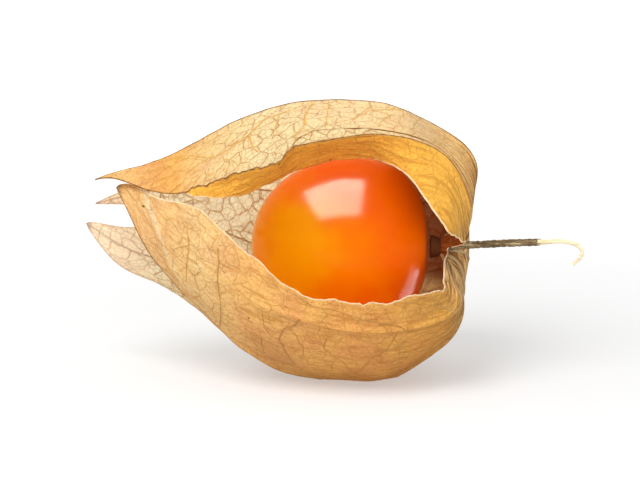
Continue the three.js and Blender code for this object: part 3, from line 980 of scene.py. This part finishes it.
ribs = runTree("husk_ribs", ribLines, tubeTree, {"Sides": 8, "Material": veinMaterial})
branches = runTree("husk_veins", branchLines, tubeTree, {"Sides": 6, "Material": veinMaterial})
folds = runTree("husk_folds", foldLines + outlineLines, tubeTree, {"Sides": 6, "Material": seamMaterial})
rims = runTree("husk_rims", rimLines, tubeTree, {"Sides": 6, "Material": rimMaterial})
hairs = runTree("husk_hairs", baseLines, hairTree, {"Seed": veins["hairSeed"], "Material": hairMaterial})
for piece in (ribs, branches, folds, rims, hairs):
    finishPiece(piece, "dry_husk")
    print(piece.name, len(piece.data.polygons), "faces")


berry = {
    "radius": 10.0,
    "centre": (0.6, 0.0, 15.2),
    "stalkHalf": 8.85,
    "freeHalf": 11.2,
    "stalkEndExponent": 2.4,
    "dimpleDepth": 0.6,
    "dimpleRadius": 2.0,
    "rings": 120,
    "sides": 160,
    "unevenness": 0.05,
    "bright": tone(255, 156, 0),
    "orange": tone(254, 122, 0),
    "deep": tone(250, 100, 0),
    "roughness": (0.15, 0.19),
    "gloss": 0.14,
    "glow": 0.3,
}


def makeBerryMesh():
    turn = np.linspace(-math.pi / 2, math.pi / 2, berry["rings"] + 1)[1:-1]
    power = np.where(turn > 0, 2 / berry["stalkEndExponent"], 1.0)
    half = np.where(turn > 0, berry["stalkHalf"], berry["freeHalf"])
    radius = berry["radius"] * np.cos(turn) ** power
    along = half * np.sign(turn) * np.abs(np.sin(turn)) ** power
    along = along - np.where(turn > 0, berry["dimpleDepth"] * bump(radius, 0, berry["dimpleRadius"]), 0)
    around = np.linspace(0, 2 * math.pi, berry["sides"], endpoint=False)
    points = np.stack([
        np.broadcast_to(along[:, None], (len(turn), len(around))),
        radius[:, None] * np.cos(around)[None, :],
        radius[:, None] * np.sin(around)[None, :],
    ], -1).reshape(-1, 3)
    ends = np.array([[-berry["freeHalf"], 0, 0], [berry["stalkHalf"] - berry["dimpleDepth"], 0, 0]])
    points = np.concatenate([points, ends])
    for at, point in enumerate(points):
        swell = perlin(Vector(point / 7))
        points[at] = point * (1 + berry["unevenness"] * swell / 10)
    points = (points + np.array(berry["centre"])) * mm
    faces = []
    count = berry["sides"]
    for ring in range(len(turn) - 1):
        for side in range(count):
            a, b = ring * count + side, ring * count + (side + 1) % count
            faces.append((a, a + count, b + count, b))
    last = (len(turn) - 1) * count
    for side in range(count):
        faces.append((len(points) - 2, side, (side + 1) % count))
        faces.append((len(points) - 1, last + (side + 1) % count, last + side))
    mesh = bpy.data.meshes.new("berry_skin")
    mesh.from_pydata([tuple(point) for point in points], [], faces)
    mesh.update()
    mesh.shade_smooth()
    return mesh


def makeBerrySkin():
    material, tree = newMaterial("berrySkin")
    place = objectPlace(tree)
    clouds = noiseOn(tree, place, 1 / (6 * mm), 3)
    flecks = noiseOn(tree, place, 1 / (0.5 * mm), 3, 0.6)
    # redder towards the stalk, and painted shade that darkens it towards the top
    towardsStalk = remap(tree, axisOf(tree, place, 0), -8 * mm, 9 * mm)
    topShade = remap(tree, axisOf(tree, place, 2), 19 * mm, 26 * mm, 0, 0.8)
    redderAndShaded = plus(tree, plus(tree, towardsStalk, topShade), remap(tree, clouds, 0.3, 0.7, -0.15, 0.2))
    colour = layered(
        tree, berry["bright"],
        (remap(tree, redderAndShaded, 0, 0.5), berry["orange"]),
        (remap(tree, redderAndShaded, 0.45, 1), berry["deep"]),
        (remap(tree, flecks, 0.6, 0.85, 0, 0.25), berry["bright"]))
    rough = remap(tree, clouds, 0.3, 0.7, *berry["roughness"])
    skin = shade(tree, colour, rough, bumpOn(tree, flecks, 0.05, 0.05), berry["gloss"])
    skin.inputs["Subsurface Weight"].default_value = berry["glow"]
    skin.inputs["Subsurface Radius"].default_value = (1.0, 0.35, 0.06)
    skin.inputs["Subsurface Scale"].default_value = 2.5 * mm
    showShader(tree, skin)
    return material


berrySkin = addObject("berry_skin", makeBerryMesh())
berrySkin.data.materials.append(makeBerrySkin())
finishPiece(berrySkin, "berry_skin", "berry")
print("berry:", len(berrySkin.data.polygons), "faces")


stalk = {
    "path": [
        (9.7, 0, 14.95), (11, 0, 14.9), (14.5, -0.1, 15.15), (18.5, 0, 15.35), (22.5, 0, 15.45),
        (24.6, 0, 15.55), (26.2, -0.1, 15.2), (26.95, -0.2, 14.5), (26.75, -0.2, 13.7), (25.9, -0.2, 12.85),
    ],
    "discRadius": 1.3,
    "discTaper": (0.2, 2.8),  # along the stalk, where the disc runs out into the neck
    "neckRadius": 0.45,
    "nodeRadius": 0.38,
    "barkEnd": 0.62,
    "bareRadius": 0.29,
    "tipRadius": 0.17,
    "barkSteps": 140,
    "bareSteps": 70,
    "fibres": 9,
    "bark": tone(142, 120, 84),
    "barkDark": tone(88, 70, 46),
    "barkPale": tone(196, 180, 142),
    "bare": tone(232, 218, 184),
    "bareDark": tone(206, 186, 146),
    "barePale": tone(244, 236, 212),
    # colour of the painted shade on the stalk inside the husk
    "shadedInHusk": tone(100, 54, 22),
}


def stalkPoints(share):
    fine = through(stalk["path"], np.linspace(0, len(stalk["path"]) - 1, 900))
    steps = np.concatenate([[0], np.cumsum(np.linalg.norm(np.diff(fine, axis=0), axis=1))])
    length = steps[-1]
    points = [np.interp(np.asarray(share) * length, steps, fine[:, axis]) for axis in range(3)]
    return np.stack(points, -1), length


def barkRadius(share, length):
    knots = stalk["neckRadius"] + (stalk["nodeRadius"] - stalk["neckRadius"]) * share / stalk["barkEnd"]
    disc = stalk["discRadius"] * (1 - smoothstep(share * length, *stalk["discTaper"]))
    rough = 0.035 * np.sin(share * 90) * np.sin(share * 37) + 0.02 * np.sin(share * 210)
    return np.maximum(knots + rough, disc)


barkShare = np.concatenate([[0, 0.002], np.linspace(0.004, stalk["barkEnd"], stalk["barkSteps"])])
barkPath, stalkLength = stalkPoints(barkShare)
bareShare = np.linspace(stalk["barkEnd"] - 0.05, 1, stalk["bareSteps"])
barePath, _ = stalkPoints(bareShare)
bareTaper = (stalk["tipRadius"] - stalk["bareRadius"]) * ramp(bareShare, stalk["barkEnd"], 1)
bareWidth = stalk["bareRadius"] + bareTaper
barkWidth = barkRadius(barkShare, stalkLength)
barkWidth[-3:] *= (0.96, 0.88, 0.72)

# fibres that stand along the bark and fray where it ends
fibreLines = []
for turn in range(stalk["fibres"]):
    angle = 2 * math.pi * turn / stalk["fibres"] + dice.uniform(-0.2, 0.2)
    first = dice.uniform(0.12, 0.3)
    last = stalk["barkEnd"] + dice.uniform(-0.01, 0.02)
    share = np.linspace(first, last, 60)
    middle, _ = stalkPoints(share)
    spin = angle + 1.2 * share
    width = barkRadius(share, stalkLength) * 0.93
    around = np.stack([0 * share, np.cos(spin), np.sin(spin)], -1) * width[:, None]
    fibreLines.append((middle + around, 0.075 * np.sin(np.pi * np.linspace(0.02, 0.9, 60)) ** 0.5))


def makeStalkMaterial(name, main, dark, pale):
    material, tree = newMaterial(name)
    place = objectPlace(tree)
    streaks = noiseOn(tree, stretch(tree, place, 0.12, 1, 1), 1 / (0.22 * mm), 4, 0.65)
    patches = noiseOn(tree, place, 1 / (2.2 * mm), 3, 0.6)
    tint = layered(
        tree, dark,
        (remap(tree, streaks, 0.42, 0.62), main),
        (remap(tree, streaks, 0.55, 0.75), pale),
        (remap(tree, patches, 0.5, 0.8, 0, 0.5), dark),
        # painted shade where the stalk runs into the husk
        (remap(tree, axisOf(tree, place, 0), 12.5 * mm, 10.8 * mm), stalk["shadedInHusk"]))
    rough = remap(tree, streaks, 0.3, 0.7, 0.65, 0.9)
    showShader(tree, shade(tree, tint, rough, bumpOn(tree, streaks, 0.7, 0.08)))
    return material


barkMaterial = makeStalkMaterial("stalkBark", stalk["bark"], stalk["barkDark"], stalk["barkPale"])
bareMaterial = makeStalkMaterial("stalkBare", stalk["bare"], stalk["bareDark"], stalk["barePale"])
barkPiece = runTree("stalk_bark", [(barkPath, barkWidth)], tubeTree, {"Sides": 20, "Material": barkMaterial})
fibrePiece = runTree("stalk_fibres", fibreLines, tubeTree, {"Sides": 5, "Material": barkMaterial})
barePiece = runTree("stalk_core", [(barePath, bareWidth)], tubeTree, {"Sides": 14, "Material": bareMaterial})
finishPiece(barkPiece, "dry_stalk", "stalk")
for piece in (fibrePiece, barePiece):
    finishPiece(piece, "dry_stalk")
print("stalk:", len(barkPiece.data.polygons) + len(barePiece.data.polygons), "faces")


studio = {
    "floorSize": 6.0,
    "floor": tone(188, 188, 188),
    "floorGlow": (0.4, 0.78),
    "worldSeen": 1.05,
    "worldLight": 0.75,
    "worldReflected": 0.03,
    "distance": 0.3,  # metres from the camera to its target
    "elevation": 10,  # degrees
    "target": (-2.841, 0, 15.75),  # millimetres
    "lens": 148.5,
    "panelColour": (1.0, 1.0, 0.8),
    # the name of each lamp, its place and size in metres, its power in watts and what it lights
    "lamps": (
        ("key_softbox", (-0.12, -0.19, 0.25), (0.2, 0.2), 0.75, "husk"),
        ("floor_softbox", (-0.12, -0.19, 0.25), (0.2, 0.2), 1.0, "floor"),
        ("back_softbox", (0.05, 0.3, 0.24), (0.3, 0.3), 1.3, "husk"),
        ("right_card", (0.16, 0.04, 0.25), (0.3, 0.3), 0.35, "husk"),
        ("front_softbox", (-0.02, -0.32, 0.06), (0.3, 0.25), 0.62, "husk"),
        ("upper_card", (-0.1, 0.02, 0.26), (0.2, 0.2), 0.15, "berry"),
        ("under_card", (-0.08, -0.12, -0.2), (0.2, 0.2), 0.35, "berry"),
        ("side_card", (0.2, -0.12, 0.1), (0.2, 0.2), 0.13, "berry"),
        ("gloss_panel", (-0.069, -0.086, 0.25), (0.21, 0.27), 6.0, "gloss"),
        ("sheen_card", (0.129, 0.059, -0.072), (0.08, 0.08), 0.08, "gloss"),
    ),
}

world = bpy.data.worlds.new("studioWorld")
world.use_nodes = True
bpy.context.scene.world = world
sky = world.node_tree
sky.nodes.clear()
ray = add(sky, "ShaderNodeLightPath")
lit = add(sky, "ShaderNodeMapRange", {
    "Value": ray.outputs["Is Glossy Ray"], "To Min": studio["worldLight"],
    "To Max": studio["worldReflected"]})
strength = add(sky, "ShaderNodeMapRange", {
    "Value": ray.outputs["Is Camera Ray"], "To Min": lit.outputs[0], "To Max": studio["worldSeen"]})
background = add(sky, "ShaderNodeBackground", {"Color": (1, 1, 1, 1), "Strength": strength.outputs[0]})
add(sky, "ShaderNodeOutputWorld", {"Surface": background.outputs[0]})


def makeFloor():
    half = studio["floorSize"] / 2
    corners = [(-half, -half, 0), (half, -half, 0), (half, half, 0), (-half, half, 0)]
    mesh = bpy.data.meshes.new("studio_floor")
    mesh.from_pydata(corners, [], [(0, 1, 2, 3)])
    floor = addObject("studio_floor", mesh)
    material, tree = newMaterial("paleFloor")
    away = add(tree, "ShaderNodeVectorMath", {0: objectPlace(tree)}, operation="LENGTH").outputs["Value"]
    glow = remap(tree, away, 0.03, 0.2, *studio["floorGlow"])
    skin = add(tree, "ShaderNodeBsdfPrincipled", {
        "Base Color": studio["floor"], "Roughness": 0.6, "Specular IOR Level": 0.2,
        "Emission Color": (1, 1, 1, 1), "Emission Strength": glow})
    showShader(tree, skin)
    mesh.materials.append(material)
    floor.visible_glossy = False
    return floor


def onlyFor(name, pieces):
    only = bpy.data.collections.new(name)
    for piece in pieces:
        only.objects.link(piece)
    return only


litPieces = {
    "husk": [huskSheet, ribs, branches, folds, rims, hairs, barkPiece, fibrePiece, barePiece],
    "floor": [makeFloor()],
    "berry": [berrySkin],
    "gloss": [berrySkin],
}


def addLamp(name, place, size, power, group):
    # a light for one group of pieces. Nothing but the berry stands in the way of the berry's own lamps,
    # and those of its gloss are seen only as reflections in it.
    light = bpy.data.lights.new(name, "AREA")
    light.shape = "RECTANGLE"
    light.size, light.size_y = size
    light.energy = power
    lamp = addObject(name, light)
    lamp.location = place
    if name == "gloss_panel":  # it hangs level
        light.color = studio["panelColour"]
    else:
        aim = Vector(studio["target"]) * mm - Vector(place)
        lamp.rotation_euler = aim.to_track_quat("-Z", "Y").to_euler()
    lamp.visible_glossy = group == "gloss"
    lamp.visible_diffuse = lamp.visible_transmission = group != "gloss"
    lamp.light_linking.receiver_collection = onlyFor(name + "_lit", litPieces[group])
    if group in ("berry", "gloss"):
        lamp.light_linking.blocker_collection = onlyFor(name + "_blockers", litPieces[group])


for lampRow in studio["lamps"]:
    addLamp(*lampRow)

camera = bpy.data.cameras.new("camera")
camera.lens = studio["lens"]
camera.sensor_width = 36
camera.clip_start = 0.01
cameraObject = addObject("camera", camera)
tilt = math.radians(studio["elevation"])
back = Vector((0, -math.cos(tilt), math.sin(tilt))) * studio["distance"]
cameraObject.location = Vector(studio["target"]) * mm + back
cameraObject.rotation_euler = (math.pi / 2 - tilt, 0, 0)
bpy.context.scene.camera = cameraObject
bpy.context.scene.view_settings.view_transform = "Standard"
print("studio set")

bpy.context.view_layer.update()
